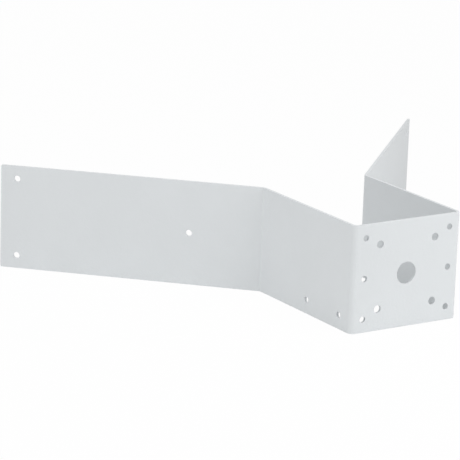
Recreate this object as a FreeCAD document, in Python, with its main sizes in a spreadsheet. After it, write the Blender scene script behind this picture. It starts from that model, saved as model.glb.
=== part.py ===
import FreeCAD, Part
import math
import os

import Sketcher

# Corner bracket for a camera, made from one steel sheet.
# The sheet has four upright folds. Seen from above it is a hat: a front plate that
# carries the camera, a web behind each of its sides, and a wing at the end of each web.
# The wings splay at half a right angle, so together they hug an outside wall corner.
#
# Frame: X runs along the front plate, Y goes back towards the wall, Z is up.
# The origin is the centre of the cable hole, on the plate's front face.
# Lengths are millimetres and angles are degrees.

DRIVING_SIZES = {
    # the sheet and its folds
    "sheet_height": 100.0,
    "sheet_thickness": 2.5,
    "inner_bend_radius": 2.5,
    "wing_splay": 45.0,
    # flat lengths, each to the sharp corners that the front side would have
    "plate_width": 116.5,
    "web_depth": 149.0,
    "wing_length": 254.0,
    # finish of the cut sheet
    "corner_radius": 1.5,
    "edge_round": 0.4,
    "hole_chamfer": 0.3,
    # holes of the front plate
    "cable_hole_diameter": 20.5,
    "inner_hole_diameter": 7.2,
    "inner_hole_spacing": 60.0,
    "outer_hole_diameter": 5.8,
    "outer_hole_edge_distance": 12.5,
    "outer_hole_column": 3,
    # holes of each web, near its lower edge
    "web_hole_diameter": 5.8,
    "web_hole_edge_distance": 13.0,
    "web_front_hole_depth": 20.0,
    "web_rear_hole_depth": 71.5,
    # wall fixing holes of each wing
    "wing_hole_diameter": 6.0,
    "wing_hole_edge_distance": 12.5,
    "wing_end_hole_distance": 16.0,
    "wing_middle_hole_distance": 70.0,
}

# Faces that meet at less than this angle, in degrees, are one smooth surface.
SMOOTH_ANGLE = 5.0

# Numbers by which a sketch names the points of a line or arc, and its own axes.
START, END, CENTRE = range(1, 4)
SKETCH_X_AXIS, SKETCH_Y_AXIS = range(-1, -3, -1)


def value_of(terms):
    """A sum of driving sizes, each times its factor, as a number."""
    return sum(factor * DRIVING_SIZES[name] for name, factor in terms.items())


def bind(feature, property_name, terms):
    """Ties a property to the same sum, read from the spreadsheet."""
    parts = [f"({factor}) * Sizes.{name}" for name, factor in terms.items()]
    feature.setExpression(property_name, " + ".join(parts))


def make_sheet(document):
    """Spreadsheet with one named cell for each driving size."""
    sheet = document.addObject("Spreadsheet::Sheet", "Sizes")
    for row, (name, value) in enumerate(DRIVING_SIZES.items(), start=1):
        sheet.set(f"A{row}", name)
        sheet.set(f"B{row}", str(value))
        sheet.setAlias(f"B{row}", name)
    document.recompute()
    return sheet


def origin_part(body, role):
    """The body's own origin plane or axis with this role."""
    return next(part for part in body.Origin.OriginFeatures if part.Role == role)


def make_sketch(body, name, plane):
    """Empty sketch on one of the body's own origin planes."""
    sketch = body.newObject("Sketcher::SketchObject", name)
    sketch.AttachmentSupport = (origin_part(body, plane), [""])
    sketch.MapMode = "FlatFace"
    return sketch


def constrain(sketch, kind, *where):
    """Sketch constraint without a size."""
    sketch.addConstraint(Sketcher.Constraint(kind, *where))


def dimension(sketch, name, kind, where, terms):
    """Named sketch dimension that follows a sum of driving sizes."""
    value = value_of(terms)
    if kind == "Angle":
        value = math.radians(value)
    index = sketch.addConstraint(Sketcher.Constraint(kind, *where, value))
    sketch.renameConstraint(index, name)
    bind(sketch, f"Constraints.{name}", terms)


def draw_hole(sketch, name, diameter, across=None, upward=None):
    """Circle of one hole. Without a place along an axis, its centre is on the other axis."""
    x = value_of(across) if across else 0
    y = value_of(upward) if upward else 0
    radius = DRIVING_SIZES[diameter] / 2
    centre = FreeCAD.Vector(x, y, 0)
    circle = sketch.addGeometry(Part.Circle(centre, FreeCAD.Vector(0, 0, 1), radius), False)
    dimension(sketch, f"{name}_diameter", "Diameter", (circle,), {diameter: 1})
    origin_to_centre = (SKETCH_X_AXIS, START, circle, CENTRE)
    if across:
        dimension(sketch, f"{name}_across", "DistanceX", origin_to_centre, across)
    else:
        constrain(sketch, "PointOnObject", circle, CENTRE, SKETCH_Y_AXIS)
    if upward:
        dimension(sketch, f"{name}_upward", "DistanceY", origin_to_centre, upward)
    else:
        constrain(sketch, "PointOnObject", circle, CENTRE, SKETCH_X_AXIS)


def section_points():
    """Points and bend centres of the right half's section, seen from above."""
    size = DRIVING_SIZES
    turn = math.radians(size["wing_splay"])
    inner = size["inner_bend_radius"]
    thickness = size["sheet_thickness"]
    outer = inner + thickness
    half = size["plate_width"] / 2
    along_wing = FreeCAD.Vector(math.sin(turn), math.cos(turn), 0)
    to_wall = FreeCAD.Vector(-math.cos(turn), math.sin(turn), 0)
    fold_corner = FreeCAD.Vector(half, size["web_depth"], 0)
    wing_tip = fold_corner + along_wing * size["wing_length"]
    front_bend = FreeCAD.Vector(half - outer, outer, 0)
    wing_bend = FreeCAD.Vector(half + inner, size["web_depth"] - inner * math.tan(turn / 2), 0)
    front_side = [
        FreeCAD.Vector(0, 0, 0),
        FreeCAD.Vector(front_bend.x, 0, 0),
        FreeCAD.Vector(half, front_bend.y, 0),
        FreeCAD.Vector(half, wing_bend.y, 0),
        wing_bend + to_wall * inner,
        wing_tip,
    ]
    wall_side = [
        wing_tip + to_wall * thickness,
        wing_bend + to_wall * outer,
        FreeCAD.Vector(half - thickness, wing_bend.y, 0),
        FreeCAD.Vector(half - thickness, front_bend.y, 0),
        FreeCAD.Vector(front_bend.x, thickness, 0),
        FreeCAD.Vector(0, thickness, 0),
    ]
    return front_side, wall_side, front_bend, wing_bend, fold_corner


def draw_section(body):
    """Section of the right half of the folded sheet, seen from above."""
    front_side, wall_side, front_bend, wing_bend, fold_corner = section_points()
    inner = DRIVING_SIZES["inner_bend_radius"]
    outer = inner + DRIVING_SIZES["sheet_thickness"]
    turn = math.radians(DRIVING_SIZES["wing_splay"])
    sketch = make_sketch(body, "fold_section", "XY_Plane")

    def line(first, last):
        return sketch.addGeometry(Part.LineSegment(first, last), False)

    def arc(centre, radius, first_angle, last_angle):
        circle = Part.Circle(centre, FreeCAD.Vector(0, 0, 1), radius)
        return sketch.addGeometry(Part.ArcOfCircle(circle, first_angle, last_angle), False)

    plate_front = line(front_side[0], front_side[1])
    front_bend_outside = arc(front_bend, outer, -math.pi / 2, 0)
    web_outside = line(front_side[2], front_side[3])
    wing_bend_inside = arc(wing_bend, inner, math.pi - turn, math.pi)
    wing_front = line(front_side[4], front_side[5])
    wing_end = line(front_side[5], wall_side[0])
    wing_back = line(wall_side[0], wall_side[1])
    wing_bend_outside = arc(wing_bend, outer, math.pi - turn, math.pi)
    web_inside = line(wall_side[2], wall_side[3])
    front_bend_inside = arc(front_bend, inner, -math.pi / 2, 0)
    plate_back = line(wall_side[4], wall_side[5])
    middle = line(wall_side[5], front_side[0])
    sharp_corner = sketch.addGeometry(Part.Point(fold_corner), True)

    # the outline closes, and every bend runs smoothly into the flats beside it
    constrain(sketch, "Coincident", plate_front, START, SKETCH_X_AXIS, START)
    constrain(sketch, "Tangent", plate_front, END, front_bend_outside, START)
    constrain(sketch, "Tangent", front_bend_outside, END, web_outside, START)
    constrain(sketch, "Tangent", web_outside, END, wing_bend_inside, END)
    constrain(sketch, "Tangent", wing_bend_inside, START, wing_front, START)
    constrain(sketch, "Coincident", wing_front, END, wing_end, START)
    constrain(sketch, "Coincident", wing_end, END, wing_back, START)
    constrain(sketch, "Tangent", wing_back, END, wing_bend_outside, START)
    constrain(sketch, "Tangent", wing_bend_outside, END, web_inside, START)
    constrain(sketch, "Tangent", web_inside, END, front_bend_inside, END)
    constrain(sketch, "Tangent", front_bend_inside, START, plate_back, START)
    constrain(sketch, "Coincident", plate_back, END, middle, START)
    constrain(sketch, "Coincident", middle, END, plate_front, START)

    # the two sides of the sheet stay parallel, and each bend's arcs share a centre
    constrain(sketch, "Horizontal", plate_front)
    constrain(sketch, "Horizontal", plate_back)
    constrain(sketch, "Vertical", middle)
    constrain(sketch, "Vertical", web_outside)
    constrain(sketch, "Vertical", web_inside)
    constrain(sketch, "Parallel", wing_front, wing_back)
    constrain(sketch, "Perpendicular", wing_front, wing_end)
    constrain(sketch, "Coincident", front_bend_inside, CENTRE, front_bend_outside, CENTRE)
    constrain(sketch, "Coincident", wing_bend_inside, CENTRE, wing_bend_outside, CENTRE)

    # the sharp corner is where web and wing would meet without a bend
    constrain(sketch, "PointOnObject", sharp_corner, START, web_outside)
    constrain(sketch, "PointOnObject", sharp_corner, START, wing_front)

    sheet_ends = (middle, START, middle, END)
    middle_to_web = (SKETCH_X_AXIS, START, web_outside, START)
    front_to_corner = (SKETCH_X_AXIS, START, sharp_corner, START)
    corner_to_tip = (sharp_corner, START, wing_front, END)
    wing_to_web = (wing_front, START, web_outside, START)
    dimension(sketch, "front_bend", "Radius", (front_bend_inside,), {"inner_bend_radius": 1})
    dimension(sketch, "wing_bend", "Radius", (wing_bend_inside,), {"inner_bend_radius": 1})
    dimension(sketch, "thickness", "Distance", sheet_ends, {"sheet_thickness": 1})
    dimension(sketch, "half_plate", "DistanceX", middle_to_web, {"plate_width": 0.5})
    dimension(sketch, "web", "DistanceY", front_to_corner, {"web_depth": 1})
    dimension(sketch, "wing", "Distance", corner_to_tip, {"wing_length": 1})
    dimension(sketch, "splay", "Angle", wing_to_web, {"wing_splay": 1})
    return sketch


def pad_right_half(body):
    """The right half of the folded sheet, centred on the height of the cable hole."""
    pad = body.newObject("PartDesign::Pad", "right_half")
    pad.Profile = draw_section(body)
    pad.SideType = "Symmetric"
    bind(pad, "Length", {"sheet_height": 1})
    body.Document.recompute()
    return pad


def soften(body, kind, name, edges, size_property, size):
    """Rounds or chamfers numbered edges of the body, by one of the driving sizes."""
    softened = body.newObject(f"PartDesign::{kind}", name)
    softened.Base = (softened.BaseFeature, [f"Edge{number}" for number in edges])
    bind(softened, size_property, {size: 1})
    body.Document.recompute()
    return softened


def free_corner_edges(shape):
    """The short edges across the sheet at the top and bottom of the wing's free end."""
    front_side, wall_side, *_ = section_points()
    end_middle = (front_side[-1] + wall_side[0]) / 2
    found = []
    for number, edge in enumerate(shape.Edges, start=1):
        centre = edge.CenterOfMass
        across = math.hypot(centre.x - end_middle.x, centre.y - end_middle.y)
        if across < DRIVING_SIZES["sheet_thickness"] / 4 and abs(centre.z) > 0:
            found.append(number)
    return found


def cut_through(body, sketch, name, reverse=False):
    """Holes right through the sheet, cut from the sketch's plane. Something has to go."""
    volume_before = body.Shape.Volume
    pocket = body.newObject("PartDesign::Pocket", name)
    pocket.Profile = sketch
    pocket.Type = "ThroughAll"
    pocket.Reversed = reverse
    body.Document.recompute()
    if body.Shape.Volume >= volume_before:
        raise ValueError(f"{name} cuts nothing")
    return pocket


def repeat(body, kind, name, **settings):
    """Pattern or mirror of earlier features, which becomes the body's last feature."""
    pattern = body.newObject(f"PartDesign::{kind}", name)
    for setting, value in settings.items():
        setattr(pattern, setting, value)
    body.Tip = pattern
    body.Document.recompute()
    return pattern


def cut_wing_holes(body):
    """Three wall fixing holes: one at mid-height near the fold and two at the free end."""
    sketch = make_sketch(body, "wing_holes_section", "YZ_Plane")
    splay = FreeCAD.Rotation(FreeCAD.Vector(0, -1, 0), DRIVING_SIZES["wing_splay"])
    sketch.AttachmentOffset = FreeCAD.Placement(FreeCAD.Vector(0, 0, 0), splay)
    bind(sketch, "AttachmentOffset.Base.x", {"web_depth": 1})
    bind(sketch, "AttachmentOffset.Base.z", {"plate_width": 0.5})
    bind(sketch, "AttachmentOffset.Rotation.Angle", {"wing_splay": 1})
    end_distance = {"wing_length": 1, "wing_end_hole_distance": -1}
    row_height = {"sheet_height": 0.5, "wing_hole_edge_distance": -1}
    lower_row = {name: -factor for name, factor in row_height.items()}
    middle_distance = {"wing_middle_hole_distance": 1}
    draw_hole(sketch, "middle", "wing_hole_diameter", middle_distance)
    draw_hole(sketch, "upper_end", "wing_hole_diameter", end_distance, row_height)
    draw_hole(sketch, "lower_end", "wing_hole_diameter", end_distance, lower_row)
    return cut_through(body, sketch, "wing_holes")


def cut_web_holes(body):
    """Two holes along the web's lower edge."""
    sketch = make_sketch(body, "web_holes_section", "YZ_Plane")
    row_height = {"sheet_height": -0.5, "web_hole_edge_distance": 1}
    for name in ("web_front_hole_depth", "web_rear_hole_depth"):
        draw_hole(sketch, name, "web_hole_diameter", {name: 1}, row_height)
    return cut_through(body, sketch, "web_holes", reverse=True)


def cut_outer_holes(body):
    """Column of small camera holes beside the front bend, evenly spaced."""
    sketch = make_sketch(body, "outer_hole_section", "XZ_Plane")
    across = {"plate_width": 0.5, "outer_hole_edge_distance": -1}
    lowest = {"sheet_height": -0.5, "outer_hole_edge_distance": 1}
    draw_hole(sketch, "outer", "outer_hole_diameter", across, lowest)
    hole = cut_through(body, sketch, "outer_hole")
    column = repeat(
        body,
        "LinearPattern",
        "outer_hole_column",
        Originals=[hole],
        Direction=(origin_part(body, "Z_Axis"), [""]),
        Occurrences=DRIVING_SIZES["outer_hole_column"],
    )
    bind(column, "Length", {"sheet_height": 1, "outer_hole_edge_distance": -2})
    bind(column, "Occurrences", {"outer_hole_column": 1})
    body.Document.recompute()
    return column


def cut_inner_holes(body):
    """Two of the four camera holes that stand in a square round the cable hole."""
    sketch = make_sketch(body, "inner_hole_section", "XZ_Plane")
    corner = {"inner_hole_spacing": 0.5}
    draw_hole(sketch, "inner", "inner_hole_diameter", corner, corner)
    hole = cut_through(body, sketch, "inner_hole")
    lower = (origin_part(body, "XY_Plane"), [""])
    return repeat(body, "Mirrored", "inner_hole_pair", Originals=[hole], MirrorPlane=lower)


def mirror_half(body):
    """The whole bracket, symmetrical about the plate's middle."""
    middle = (origin_part(body, "YZ_Plane"), [""])
    return repeat(
        body, "Mirrored", "both_halves", TransformMode="Whole shape", MirrorPlane=middle
    )


def cut_cable_hole(body):
    """The large hole in the middle of the plate, through which the cable passes."""
    sketch = make_sketch(body, "cable_hole_section", "XZ_Plane")
    draw_hole(sketch, "cable", "cable_hole_diameter")
    return cut_through(body, sketch, "cable_hole")


def is_sharp(shape, edge):
    """True where two faces of the solid meet at a corner, not smoothly."""
    faces = shape.ancestorsOfType(edge, Part.Face)
    if len(faces) != 2:
        return False
    point = edge.valueAt((edge.FirstParameter + edge.LastParameter) / 2)
    normals = [face.normalAt(*face.Surface.parameter(point)) for face in faces]
    return math.degrees(normals[0].getAngle(normals[1])) > SMOOTH_ANGLE


def sharp_edges(shape, closed):
    """Numbers of the sharp edges: the closed ones are hole rims, the others the outline."""
    numbered = enumerate(shape.Edges, start=1)
    return [n for n, edge in numbered if edge.isClosed() == closed and is_sharp(shape, edge)]


def check(document, body):
    """Stops before anything is written if a feature failed or the solid isn't whole."""
    for item in document.Objects:
        if "Invalid" in item.State or "Error" in item.State:
            raise ValueError(f"{item.Name} failed: {item.State}")
    shape = body.Shape
    if shape.isNull() or not shape.isValid() or len(shape.Solids) != 1:
        raise ValueError(f"{body.Label} isn't one whole solid")


def main():
    document = FreeCAD.newDocument("corner_bracket")
    make_sheet(document)
    body = document.addObject("PartDesign::Body", "corner_bracket")
    body.Label = "corner_bracket"

    pad_right_half(body)
    corners = free_corner_edges(body.Shape)
    soften(body, "Fillet", "free_corners", corners, "Radius", "corner_radius")
    cut_wing_holes(body)
    cut_web_holes(body)
    cut_outer_holes(body)
    cut_inner_holes(body)
    mirror_half(body)
    cut_cable_hole(body)
    rims = sharp_edges(body.Shape, closed=True)
    soften(body, "Chamfer", "chamfered_rims", rims, "Size", "hole_chamfer")
    outline = sharp_edges(body.Shape, closed=False)
    soften(body, "Fillet", "rounded_outline", outline, "Radius", "edge_round")
    check(document, body)

    os.makedirs("parts", exist_ok=True)
    body.Shape.exportStep(f"parts/{body.Label}.step")
    box = body.Shape.BoundBox
    print(f"{body.Label}: {box.XLength:.1f} x {box.YLength:.1f} x {box.ZLength:.1f} mm")
    print(f"volume {body.Shape.Volume / 1000:.1f} cm3, {len(body.Shape.Faces)} faces")


main()
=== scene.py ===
# %% [markdown]
# # Corner bracket for a camera
# This lesson dresses a folded sheet-metal bracket. The real one is cut flat from steel sheet,
# punched, folded four times, and powder coated. The steps here follow that order: a flat blank,
# the holes, the folds, the softened edges, and the coat.
# The frame is the measured part. Everything below is built around it, in metres, with X along
# the front plate, Y back towards the wall and Z up.

# %% Load the frame
import math

import bpy
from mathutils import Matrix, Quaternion, Vector


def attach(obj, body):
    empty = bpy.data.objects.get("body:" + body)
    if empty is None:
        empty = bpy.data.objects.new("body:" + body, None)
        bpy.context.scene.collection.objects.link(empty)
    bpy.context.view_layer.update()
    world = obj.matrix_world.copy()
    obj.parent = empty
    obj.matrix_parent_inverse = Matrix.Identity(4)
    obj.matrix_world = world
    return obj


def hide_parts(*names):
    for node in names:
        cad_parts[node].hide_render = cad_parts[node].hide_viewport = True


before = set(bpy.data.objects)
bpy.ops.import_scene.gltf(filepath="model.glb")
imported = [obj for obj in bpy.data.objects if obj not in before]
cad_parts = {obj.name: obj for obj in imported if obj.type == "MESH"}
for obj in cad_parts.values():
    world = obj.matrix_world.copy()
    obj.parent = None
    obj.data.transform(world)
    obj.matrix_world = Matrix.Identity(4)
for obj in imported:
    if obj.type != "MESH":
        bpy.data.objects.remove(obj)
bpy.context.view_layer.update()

# %% [markdown]
# ## Sizes of the sheet
# The front plate, webs and wings are measured to the sharp corners that the front side would
# have without its bend radii, because that is how a fold drawing is dimensioned. The flat
# blank is shorter than their sum: metal in a bend keeps its length only on a neutral line
# inside the sheet, here a little nearer the inner side, as is usual for steel.

# %% Sizes of the sheet
MM = 0.001
BLANK_SIZES = {
    "Height": 100 * MM,
    "Thickness": 2.5 * MM,
    "Bend Radius": 2.5 * MM,
    "Neutral Line": 0.44,
    "Plate Width": 116.5 * MM,
    "Web Depth": 149 * MM,
    "Wing Length": 254 * MM,
    "Wing Splay": math.radians(45),
    "Fold Bulge": 0.12 * MM,
    "Columns per Bend": 12,
}
HOLE_SIZES = {
    "Cable Hole": 20.5 * MM,
    "Inner Hole": 7.2 * MM,
    "Inner Spacing": 60 * MM,
    "Outer Hole": 5.8 * MM,
    "Plate Margin": 12.5 * MM,
    "Web Hole": 5.8 * MM,
    "Web Margin": 13 * MM,
    "Web Front Hole": 20 * MM,
    "Web Rear Hole": 71.5 * MM,
    "Wing Hole": 6 * MM,
    "Wing Margin": 12.5 * MM,
    "Wing End Distance": 16 * MM,
    "Wing Middle Distance": 70 * MM,
    "Punch Sides": 48,
}
CORNER_RADIUS = 1.5 * MM
EDGE_RADIUS = 0.4 * MM
print(len(BLANK_SIZES) + len(HOLE_SIZES), "sizes for the node trees")

# %% [markdown]
# ## Writing node trees as sums
# A fold is a formula: so far along the sheet, then so far round an arc. Geometry Nodes can hold
# it, but each plus sign is a Math node, and a long formula becomes hard to read as a list of
# nodes and links. So a small class stands for "a number at each point". Ordinary arithmetic on
# it adds the Math nodes, and the formulas below look like formulas.


# %% Numbers inside a node tree
NODE_SPACING = 180


class Number:
    """A number at each point of the geometry. Arithmetic on it adds Math nodes."""

    def __init__(self, tree, socket):
        self.tree = tree
        self.socket = socket

    def __add__(self, other):
        return calculate("ADD", self, other)

    def __radd__(self, other):
        return calculate("ADD", self, other)

    def __sub__(self, other):
        return calculate("SUBTRACT", self, other)

    def __rsub__(self, other):
        return calculate("SUBTRACT", other, self)

    def __mul__(self, other):
        return calculate("MULTIPLY", self, other)

    def __rmul__(self, other):
        return calculate("MULTIPLY", self, other)

    def __truediv__(self, other):
        return calculate("DIVIDE", self, other)


def feed(tree, socket, value):
    """Links a Number or a socket into a node's input, or writes a plain value there."""
    if isinstance(value, Number):
        value = value.socket
    if isinstance(value, bpy.types.NodeSocket):
        tree.links.new(value, socket)
    else:
        socket.default_value = value


def add_node(tree, kind, inputs=None, **settings):
    """Adds a node to the right of the others, with its settings and its named inputs."""
    node = tree.nodes.new(kind)
    node.location.x = NODE_SPACING * len(tree.nodes)
    for name, value in settings.items():
        setattr(node, name, value)
    for name, value in (inputs or {}).items():
        feed(tree, node.inputs[name], value)
    return node


def calculate(operation, *terms):
    """One Math node on Numbers and plain numbers."""
    tree = next(term.tree for term in terms if isinstance(term, Number))
    node = add_node(tree, "ShaderNodeMath", operation=operation)
    for socket, term in zip(node.inputs, terms):
        feed(tree, socket, term)
    return Number(tree, node.outputs[0])


# %% [markdown]
# ## Node trees with named inputs
# A tree is easier to reuse when its sizes come in by name. This helper makes the tree and its
# input sockets, and hands the sizes over as Numbers.


# %% Trees with named inputs
SOCKET_OF = {float: "NodeSocketFloat", int: "NodeSocketInt"}


def new_tree(name, sizes, takes_geometry=False):
    """Tree with one named input for each size. Returns it, its sizes and its input node."""
    tree = bpy.data.node_groups.new(name, "GeometryNodeTree")
    tree.interface.new_socket("Geometry", in_out="OUTPUT", socket_type="NodeSocketGeometry")
    if takes_geometry:
        tree.interface.new_socket("Geometry", in_out="INPUT", socket_type="NodeSocketGeometry")
    for size, value in sizes.items():
        kind = SOCKET_OF[type(value)]
        socket = tree.interface.new_socket(size, in_out="INPUT", socket_type=kind)
        socket.default_value = value
    entry = add_node(tree, "NodeGroupInput")
    return tree, {size: Number(tree, entry.outputs[size]) for size in sizes}, entry


def end_tree(tree, geometry):
    """Sends the finished geometry out of the tree."""
    add_node(tree, "NodeGroupOutput", {"Geometry": geometry})
    print(tree.name, "has", len(tree.nodes), "nodes")


def position_of(tree):
    """The three parts of each point's position, as Numbers."""
    position = add_node(tree, "GeometryNodeInputPosition")
    parts = add_node(tree, "ShaderNodeSeparateXYZ", {"Vector": position.outputs[0]})
    return [Number(tree, output) for output in parts.outputs]


def move_points(tree, geometry, x, y, z):
    """Puts every point of the geometry at x, y and z."""
    target = add_node(tree, "ShaderNodeCombineXYZ", {"X": x, "Y": y, "Z": z})
    inputs = {"Geometry": geometry, "Position": target.outputs[0]}
    return add_node(tree, "GeometryNodeSetPosition", inputs).outputs["Geometry"]


# %% [markdown]
# ## One fold
# A press brake bends the sheet round a punch: up to the bend nothing moves, inside it each
# point goes round an arc, and beyond it the sheet turns as one stiff piece. The tree does
# exactly that, on both sides of the middle at once, by working with the distance from the
# middle and its sign.
# Where thick sheet is bent, the squeezed inner side swells a little past the sheet's edge and
# the stretched outer side draws in half as much. The bulge input gives each end of the fold
# that form.

# %% The fold tree
SHARED_SIZES = ("Bend Radius", "Thickness", "Neutral Line", "Fold Bulge")
SWELL, DRAW_IN = 1.0, 0.5
fold_sizes = {"Start": 50 * MM, "Angle": math.radians(90), "Direction": 1.0}
fold_sizes.update({name: BLANK_SIZES[name] for name in SHARED_SIZES})
fold, size, entry = new_tree("fold", fold_sizes, takes_geometry=True)
x, y, z = position_of(fold)
side = calculate("SIGN", x)
along = calculate("ABSOLUTE", x)

# how far round the bend each point is, and how far beyond it
bend_length = size["Angle"] * (size["Bend Radius"] + size["Neutral Line"] * size["Thickness"])
into_bend = along - size["Start"]
share = calculate("MINIMUM", calculate("MAXIMUM", into_bend / bend_length, 0), 1)
beyond = calculate("MAXIMUM", into_bend - bend_length, 0)
turned = share * size["Angle"]
sine, cosine = calculate("SINE", turned), calculate("COSINE", turned)

# the bend's centre is on the wall side of the sheet for direction 1, on the front for -1
towards_wall = calculate("GREATER_THAN", size["Direction"], 0)
outer_radius = size["Bend Radius"] + size["Thickness"]
centre = towards_wall * outer_radius - (1 - towards_wall) * size["Bend Radius"]
radius = size["Direction"] * (centre - y)
folded_along = calculate("MINIMUM", along, size["Start"]) + radius * sine + beyond * cosine
folded_y = centre + size["Direction"] * (beyond * sine - radius * cosine)

depth_in_sheet = (radius - size["Bend Radius"]) / size["Thickness"]
swelling = calculate("SINE", share * math.pi) * (SWELL - (SWELL + DRAW_IN) * depth_in_sheet)
folded_x = side * folded_along
folded_z = z + calculate("SIGN", z) * swelling * size["Fold Bulge"]
end_tree(fold, move_points(fold, entry.outputs["Geometry"], folded_x, folded_y, folded_z))

# %% [markdown]
# ## One pattern of holes
# The bracket's holes come in rows and columns, so one small tree makes them all: it numbers
# the points of a pattern, works out the row and column from the number, and sets a cylinder
# on each. These are the punches. A punch has many sides, so that its hole looks round close up.

# %% The hole pattern tree
pattern_sizes = {
    "Columns": 1,
    "Rows": 1,
    "Column Spacing": 0.0,
    "Row Spacing": 0.0,
    "Along": 0.0,
    "Up": 0.0,
    "Diameter": 6 * MM,
    "Sides": 48,
}
PUNCH_LENGTH = 40 * MM
punches, size, entry = new_tree("punches", pattern_sizes)
index = Number(punches, add_node(punches, "GeometryNodeInputIndex").outputs[0])
column = calculate("MODULO", index, size["Columns"])
row = calculate("FLOOR", index / size["Columns"])
across = size["Along"] + (column - (size["Columns"] - 1) / 2) * size["Column Spacing"]
upward = size["Up"] + (row - (size["Rows"] - 1) / 2) * size["Row Spacing"]
place = add_node(punches, "ShaderNodeCombineXYZ", {"X": across, "Y": 0.0, "Z": upward})
count = size["Columns"] * size["Rows"]
points = add_node(
    punches, "GeometryNodePoints", {"Count": count, "Position": place.outputs[0]}
)
cylinder = add_node(
    punches,
    "GeometryNodeMeshCylinder",
    {"Vertices": size["Sides"], "Radius": size["Diameter"] / 2, "Depth": PUNCH_LENGTH},
)
on_points = add_node(
    punches,
    "GeometryNodeInstanceOnPoints",
    {
        "Points": points.outputs[0],
        "Instance": cylinder.outputs["Mesh"],
        "Rotation": (math.radians(90), 0, 0),
    },
)
end_tree(punches, on_points.outputs[0])

# %% [markdown]
# ## The blank, its holes and its folds
# The blank could be drawn by hand, but its length depends on every other size. Here it starts
# as a box with one column of faces for each flat and twelve for each bend. The columns are
# then pulled to their real widths, so the mesh is fine where it will bend and plain elsewhere.
# The plate is a single column, half of it on each side, so no edge crosses its cable hole.
# The holes are cut while the sheet is flat, as in the workshop, because a flat cut is clean.
# The wings' folds come before the webs': the outer fold is made while its flat still lies in
# line with the plate, and the inner fold then swings web and wing round together.

# %% The bracket tree: flat lengths
bracket, size, entry = new_tree("folded_bracket", {**BLANK_SIZES, **HOLE_SIZES})
bracket.interface.new_socket("Coat", in_out="INPUT", socket_type="NodeSocketMaterial")
outer_radius = size["Bend Radius"] + size["Thickness"]
neutral_radius = size["Bend Radius"] + size["Neutral Line"] * size["Thickness"]
set_back = size["Bend Radius"] * calculate("TANGENT", size["Wing Splay"] / 2)
bend_columns = size["Columns per Bend"]
zones = {
    "plate": (0.5, size["Plate Width"] / 2 - outer_radius),
    "front bend": (bend_columns, neutral_radius * (math.pi / 2)),
    "web": (1, size["Web Depth"] - outer_radius - set_back),
    "wing bend": (bend_columns, neutral_radius * size["Wing Splay"]),
    "wing": (1, size["Wing Length"] - set_back),
}

# %% The bracket tree: blank
columns = 4 * bend_columns + 5
box_size = {"X": columns, "Y": 1.0, "Z": 1.0}
box = add_node(
    bracket,
    "GeometryNodeMeshCube",
    {
        "Size": add_node(bracket, "ShaderNodeCombineXYZ", box_size).outputs[0],
        "Vertices X": columns + 1,
    },
)
x, y, z = position_of(bracket)
column = calculate("ABSOLUTE", x)
first_column = 0.0
zone_start = {}
reach = 0.0
flat_x = 0.0
for zone, (zone_columns, length) in zones.items():
    share = calculate("MAXIMUM", (column - first_column) / zone_columns, 0)
    flat_x = flat_x + length * calculate("MINIMUM", share, 1)
    zone_start[zone] = reach
    reach = reach + length
    first_column = first_column + zone_columns
flat_x = calculate("SIGN", x) * flat_x
flat_y = (y + 0.5) * size["Thickness"]
blank = move_points(bracket, box.outputs["Mesh"], flat_x, flat_y, z * size["Height"])

# %% [markdown]
# ## Where the holes are on the flat blank
# A hole's place is stated on the folded part: so far behind the front, or so far along a wing.
# On the blank it is the start of that flat plus the rest of the way. The webs' and wings' holes
# are made on the right and turned round to the left, which mirrors them because each hole is
# symmetrical.


# %% The bracket tree: holes
def punch(columns, rows, column_spacing, row_spacing, along, up, diameter):
    """The punches of one pattern of holes, on the flat blank."""
    pattern = add_node(bracket, "GeometryNodeGroup", node_tree=punches)
    values = (columns, rows, column_spacing, row_spacing, along, up, diameter)
    for socket, value in zip(pattern.inputs, (*values, size["Punch Sides"])):
        feed(bracket, socket, value)
    return pattern.outputs[0]


def join(pieces):
    """All the pieces as one geometry."""
    joint = add_node(bracket, "GeometryNodeJoinGeometry")
    for piece in pieces:
        bracket.links.new(piece, joint.inputs[0])
    return joint.outputs[0]


half_height = size["Height"] / 2
plate_columns = size["Plate Width"] - 2 * size["Plate Margin"]
plate_rows = half_height - size["Plate Margin"]
inner = size["Inner Spacing"]
plate_punches = [
    punch(1, 1, 0.0, 0.0, 0.0, 0.0, size["Cable Hole"]),
    punch(2, 2, inner, inner, 0.0, 0.0, size["Inner Hole"]),
    punch(2, 3, plate_columns, plate_rows, 0.0, 0.0, size["Outer Hole"]),
]

web_middle = (size["Web Front Hole"] + size["Web Rear Hole"]) / 2
web_along = zone_start["web"] + web_middle - outer_radius
web_spacing = size["Web Rear Hole"] - size["Web Front Hole"]
web_up = size["Web Margin"] - half_height
wing_corner = zone_start["wing"] - set_back
wing_end = wing_corner + size["Wing Length"] - size["Wing End Distance"]
wing_middle = wing_corner + size["Wing Middle Distance"]
wing_rows = size["Height"] - 2 * size["Wing Margin"]
right_punches = join(
    [
        punch(2, 1, web_spacing, 0.0, web_along, web_up, size["Web Hole"]),
        punch(1, 2, 0.0, wing_rows, wing_end, 0.0, size["Wing Hole"]),
        punch(1, 1, 0.0, 0.0, wing_middle, 0.0, size["Wing Hole"]),
    ]
)
half_turn = {"Geometry": right_punches, "Rotation": (0, 0, math.pi)}
left_punches = add_node(bracket, "GeometryNodeTransform", half_turn).outputs[0]
all_punches = join([*plate_punches, right_punches, left_punches])
solid_punches = add_node(bracket, "GeometryNodeRealizeInstances", {"Geometry": all_punches})
cut = add_node(bracket, "GeometryNodeMeshBoolean", operation="DIFFERENCE", solver="EXACT")
bracket.links.new(blank, cut.inputs["Mesh 1"])
bracket.links.new(solid_punches.outputs[0], cut.inputs["Mesh 2"])

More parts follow.
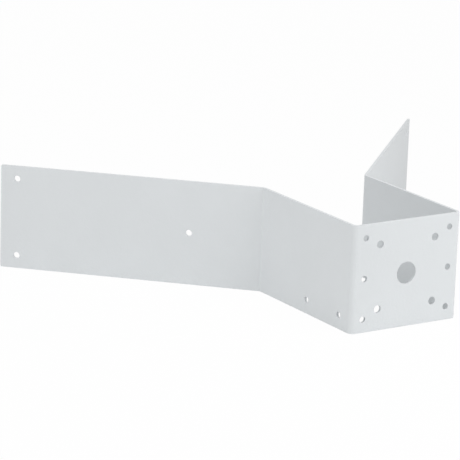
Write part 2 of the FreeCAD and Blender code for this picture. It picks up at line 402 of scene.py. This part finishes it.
# %% [markdown]
# ## The free corners, the folds and the coat
# The four corners at the wings' ends are barely rounded. The tree marks the short edges there
# before it folds the sheet, so that a bevel can find them by their weight afterwards.


# %% The bracket tree: corner marks, folds and coat
TOLERANCE = 0.1 * MM
edge_ends = add_node(bracket, "GeometryNodeInputMeshEdgeVertices")
first, second = [
    add_node(bracket, "ShaderNodeSeparateXYZ", {"Vector": edge_ends.outputs[name]})
    for name in ("Position 1", "Position 2")
]
middle_x = (Number(bracket, first.outputs["X"]) + Number(bracket, second.outputs["X"])) / 2
rise = Number(bracket, first.outputs["Z"]) - Number(bracket, second.outputs["Z"])
at_the_end = calculate("GREATER_THAN", calculate("ABSOLUTE", middle_x), reach - TOLERANCE)
level = calculate("LESS_THAN", calculate("ABSOLUTE", rise), TOLERANCE)
marked = add_node(
    bracket,
    "GeometryNodeStoreNamedAttribute",
    {"Geometry": cut.outputs[0], "Name": "bevel_weight_edge", "Value": at_the_end * level},
    data_type="FLOAT",
    domain="EDGE",
)


def fold_at(geometry, zone, angle, direction):
    """The geometry with one more fold on each side of the middle."""
    node = add_node(bracket, "GeometryNodeGroup", node_tree=fold)
    values = {
        "Geometry": geometry,
        "Start": zone_start[zone],
        "Angle": angle,
        "Direction": direction,
    }
    values.update({name: size[name] for name in SHARED_SIZES})
    for name, value in values.items():
        feed(bracket, node.inputs[name], value)
    return node.outputs[0]


wings_folded = fold_at(marked.outputs[0], "wing bend", size["Wing Splay"], -1.0)
webs_folded = fold_at(wings_folded, "front bend", math.pi / 2, 1.0)
smooth = add_node(bracket, "GeometryNodeSetShadeSmooth", {"Geometry": webs_folded})
whole = add_node(bracket, "GeometryNodeRealizeInstances", {"Geometry": smooth.outputs[0]})
coated = add_node(
    bracket,
    "GeometryNodeSetMaterial",
    {"Geometry": whole.outputs[0], "Material": entry.outputs["Coat"]},
)
end_tree(bracket, coated.outputs[0])

# %% [markdown]
# ## Powder coat
# The finish is a light, slightly cool grey powder coat with a satin gloss. Powder melts and
# flows in the oven, and keeps a faint orange-peel wave, a few millimetres long and only
# hundredths of a millimetre high, with a finer grain on it. Its colour is even, but never
# quite: where the coat is thicker it is a trace lighter.
# All three come from noise on Object coordinates in metres, so they stay at their real scale.

# %% Powder coat material
COAT_COLOUR = (0.763, 0.789, 0.803)
COAT_SHADE = 0.97
THIN_BELOW, THICK_ABOVE = 0.35, 0.65
PEEL = {"per_metre": 380, "detail": 1.0}
GRAIN = {"per_metre": 2600, "detail": 2.0}
CLOUD = {"per_metre": 22, "detail": 3.0}
PEEL_HEIGHT = 0.07 * MM
GRAIN_HEIGHT = 0.02 * MM
SATIN, SATIN_CHANGE = 0.46, 0.10
COAT_SPECULAR = 0.3


def noise(tree, where, per_metre, detail):
    """Noise with so many waves per metre, as a Number about 0.5."""
    inputs = {"Vector": where, "Scale": per_metre, "Detail": detail}
    return Number(tree, add_node(tree, "ShaderNodeTexNoise", inputs).outputs[0])


coat = bpy.data.materials.new("powder_coat")
coat.use_nodes = True
tree = coat.node_tree
shader = tree.nodes["Principled BSDF"]
where = add_node(tree, "ShaderNodeTexCoord").outputs["Object"]
peel, grain, cloud = [noise(tree, where, **waves) for waves in (PEEL, GRAIN, CLOUD)]
shades = add_node(tree, "ShaderNodeValToRGB", {"Fac": (cloud + grain) / 2})
thin, thick = shades.color_ramp.elements
thin.position, thick.position = THIN_BELOW, THICK_ABOVE
thin.color = (*[COAT_SHADE * part for part in COAT_COLOUR], 1)
thick.color = (*COAT_COLOUR, 1)
height = peel * PEEL_HEIGHT + grain * GRAIN_HEIGHT
bump = add_node(tree, "ShaderNodeBump", {"Height": height, "Distance": 1.0, "Strength": 1.0})
feed(tree, shader.inputs["Base Color"], shades.outputs["Color"])
feed(tree, shader.inputs["Roughness"], SATIN + SATIN_CHANGE * cloud)
feed(tree, shader.inputs["Normal"], bump.outputs[0])
shader.inputs["Specular IOR Level"].default_value = COAT_SPECULAR
print("the coat's material has", len(tree.nodes), "nodes")

# %% [markdown]
# ## From trees to a plain mesh
# A modifier's inputs are set by each socket's identifier, since two sockets could share a name.
# Two bevels follow the tree: one rounds the marked corners, and a finer one breaks every sharp
# edge and hole rim, where the coat is drawn thin and round. Smooth shading would let each flat
# lean a little towards the bend beside it. Normals weighted by face area keep the flats flat,
# and let only the small faces of bends and edges turn. The result becomes a plain mesh.


# %% Make the bracket
CORNER_SEGMENTS = 5
EDGE_SEGMENTS = 3
SHARP_FROM = math.radians(40)


def set_inputs(modifier, values):
    """Writes the named sizes into a Geometry Nodes modifier."""
    for item in modifier.node_group.interface.items_tree:
        if item.item_type == "SOCKET" and item.in_out == "INPUT" and item.name in values:
            modifier[item.identifier] = values[item.name]


def add_bevel(piece, name, width, segments, **settings):
    """Bevel modifier of one width."""
    bevel = piece.modifiers.new(name, "BEVEL")
    bevel.width = width
    bevel.segments = segments
    for setting, value in settings.items():
        setattr(bevel, setting, value)


sheet = bpy.data.objects.new("folded_sheet", bpy.data.meshes.new("folded_sheet"))
bpy.context.scene.collection.objects.link(sheet)
folding = sheet.modifiers.new("folding", "NODES")
folding.node_group = bracket
set_inputs(folding, {**BLANK_SIZES, **HOLE_SIZES, "Coat": coat})
add_bevel(sheet, "free corners", CORNER_RADIUS, CORNER_SEGMENTS, limit_method="WEIGHT")
edge_limits = {"limit_method": "ANGLE", "angle_limit": SHARP_FROM}
add_bevel(sheet, "edges", EDGE_RADIUS, EDGE_SEGMENTS, **edge_limits)
sheet.modifiers.new("flat shading of flats", "WEIGHTED_NORMAL").mode = "FACE_AREA"

evaluated = sheet.evaluated_get(bpy.context.evaluated_depsgraph_get())
sheet_mesh = bpy.data.meshes.new_from_object(evaluated)
sheet.modifiers.clear()
sheet.data = sheet_mesh
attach(sheet, "root")
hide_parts("corner_bracket")
counts = len(sheet_mesh.vertices), "vertices and", len(sheet_mesh.polygons), "faces"
print("the sheet has", *counts)

# %% [markdown]
# ## Floor and background
# The bracket stands on its lower edges on a plain white floor, in a white room. Real light
# falls off towards the distance, and the floor would turn grey there. So the rays that only
# look at the floor, from the camera or by way of a gloss, see it mostly as plain white, and
# the small rest keeps the soft shadow under the sheet. The light that the floor throws back on
# to the object isn't changed by this.

# %% Floor and world
FLOOR_HEIGHT = -50 * MM
FLOOR_SIZE = 40.0
FLOOR_COLOUR = (0.9, 0.9, 0.9, 1)
FLOOR_ROUGHNESS = 0.9
WHITE = (1, 1, 1, 1)
PLAIN_SHARE = 0.97
AMBIENT = 0.474


def looking_rays(tree):
    """1 for rays that look at a surface or the background, 0 for rays that light others."""
    rays = add_node(tree, "ShaderNodeLightPath")
    camera_ray, gloss, glass = [
        Number(tree, rays.outputs[name])
        for name in ("Is Camera Ray", "Is Glossy Ray", "Is Transmission Ray")
    ]
    return calculate("MAXIMUM", calculate("MAXIMUM", camera_ray, gloss), glass)


floor_mesh = bpy.data.meshes.new("floor")
half = FLOOR_SIZE / 2
corners = [(-half, -half), (half, -half), (half, half), (-half, half)]
floor_mesh.from_pydata([(*corner, FLOOR_HEIGHT) for corner in corners], [], [(0, 1, 2, 3)])
floor = bpy.data.objects.new("floor", floor_mesh)
bpy.context.scene.collection.objects.link(floor)
floor_paint = bpy.data.materials.new("floor_paint")
floor_paint.use_nodes = True
tree = floor_paint.node_tree
matt = tree.nodes["Principled BSDF"]
matt.inputs["Base Color"].default_value = FLOOR_COLOUR
matt.inputs["Roughness"].default_value = FLOOR_ROUGHNESS
matt.inputs["Specular IOR Level"].default_value = 0.0
plain = add_node(tree, "ShaderNodeEmission", {"Color": WHITE, "Strength": 1.0})
mixed = add_node(tree, "ShaderNodeMixShader", {"Fac": looking_rays(tree) * PLAIN_SHARE})
tree.links.new(matt.outputs[0], mixed.inputs[1])
tree.links.new(plain.outputs[0], mixed.inputs[2])
tree.links.new(mixed.outputs[0], tree.nodes["Material Output"].inputs["Surface"])
floor_mesh.materials.append(floor_paint)

world = bpy.data.worlds.new("studio")
world.use_nodes = True
bpy.context.scene.world = world
background = world.node_tree.nodes["Background"]
background.inputs["Color"].default_value = WHITE
level = looking_rays(world.node_tree) * (1 - AMBIENT) + AMBIENT
feed(world.node_tree, background.inputs["Strength"], level)
print("floor and world are ready")

# %% [markdown]
# ## Soft studio light
# The white room gives nearly half of the light, from all sides. Three large panels stand well
# away from the bracket: in front, on its left and behind it. Two smaller ones stand close to
# its right front, one low and one high. Light from close by fades along the part, so the front
# plate is the lightest face, and the right wing grows a little darker towards its free end.
# The low panels keep the sheet's upper edges no lighter than the plate.

# %% Lights
AIM = Vector((0, 0.1, 0))
FAR = {"distance": 2.5, "width": 1.0}
NEAR = {"distance": 0.8, "width": 0.5}
PANELS = {
    "front_panel": (0, 15, FAR, 7.7),
    "left_panel": (-90, 40, FAR, 16.0),
    "rear_panel": (180, 15, FAR, 3.4),
    "near_front_panel": (30, 15, NEAR, 1.03),
    "near_top_panel": (30, 70, NEAR, 1.5),
}


def direction(azimuth, elevation):
    """Unit vector, with azimuth 0 in front of the plate and positive towards the right."""
    azimuth, elevation = math.radians(azimuth), math.radians(elevation)
    level = math.cos(elevation)
    return Vector((math.sin(azimuth) * level, -math.cos(azimuth) * level, math.sin(elevation)))


for name, (azimuth, elevation, place, watts) in PANELS.items():
    lamp = bpy.data.lights.new(name, "AREA")
    lamp.size = place["width"]
    lamp.energy = watts
    panel = bpy.data.objects.new(name, lamp)
    bpy.context.scene.collection.objects.link(panel)
    towards_panel = direction(azimuth, elevation)
    panel.location = AIM + place["distance"] * towards_panel
    panel.rotation_mode = "QUATERNION"
    panel.rotation_quaternion = towards_panel.to_track_quat("Z", "Y")
    panel.visible_camera = False
print(len(PANELS), "light panels")

# %% [markdown]
# ## Camera
# The photograph was taken from the front left, a little above, with a long lens from a little
# over two metres. The camera's place was solved from the straight edges and hole centres. It
# looks at a point in front of the left wing, because the long left wing fills that half of the
# picture.

# %% Camera
AZIMUTH = -32.51
ELEVATION = 15.30
ROLL = math.radians(1.91)
DISTANCE = 2.2181
TARGET = Vector((-0.1885, 0, 0.0620))
LENS = 204.0
SENSOR_WIDTH = 36

towards_camera = direction(AZIMUTH, ELEVATION)
lens = bpy.data.cameras.new("camera")
lens.lens = LENS
lens.sensor_width = SENSOR_WIDTH
camera = bpy.data.objects.new("camera", lens)
bpy.context.scene.collection.objects.link(camera)
camera.location = TARGET + DISTANCE * towards_camera
camera.rotation_mode = "QUATERNION"
upright = towards_camera.to_track_quat("Z", "Y")
camera.rotation_quaternion = upright @ Quaternion((0, 0, 1), ROLL)
bpy.context.scene.camera = camera
bpy.context.scene.view_settings.view_transform = "Standard"
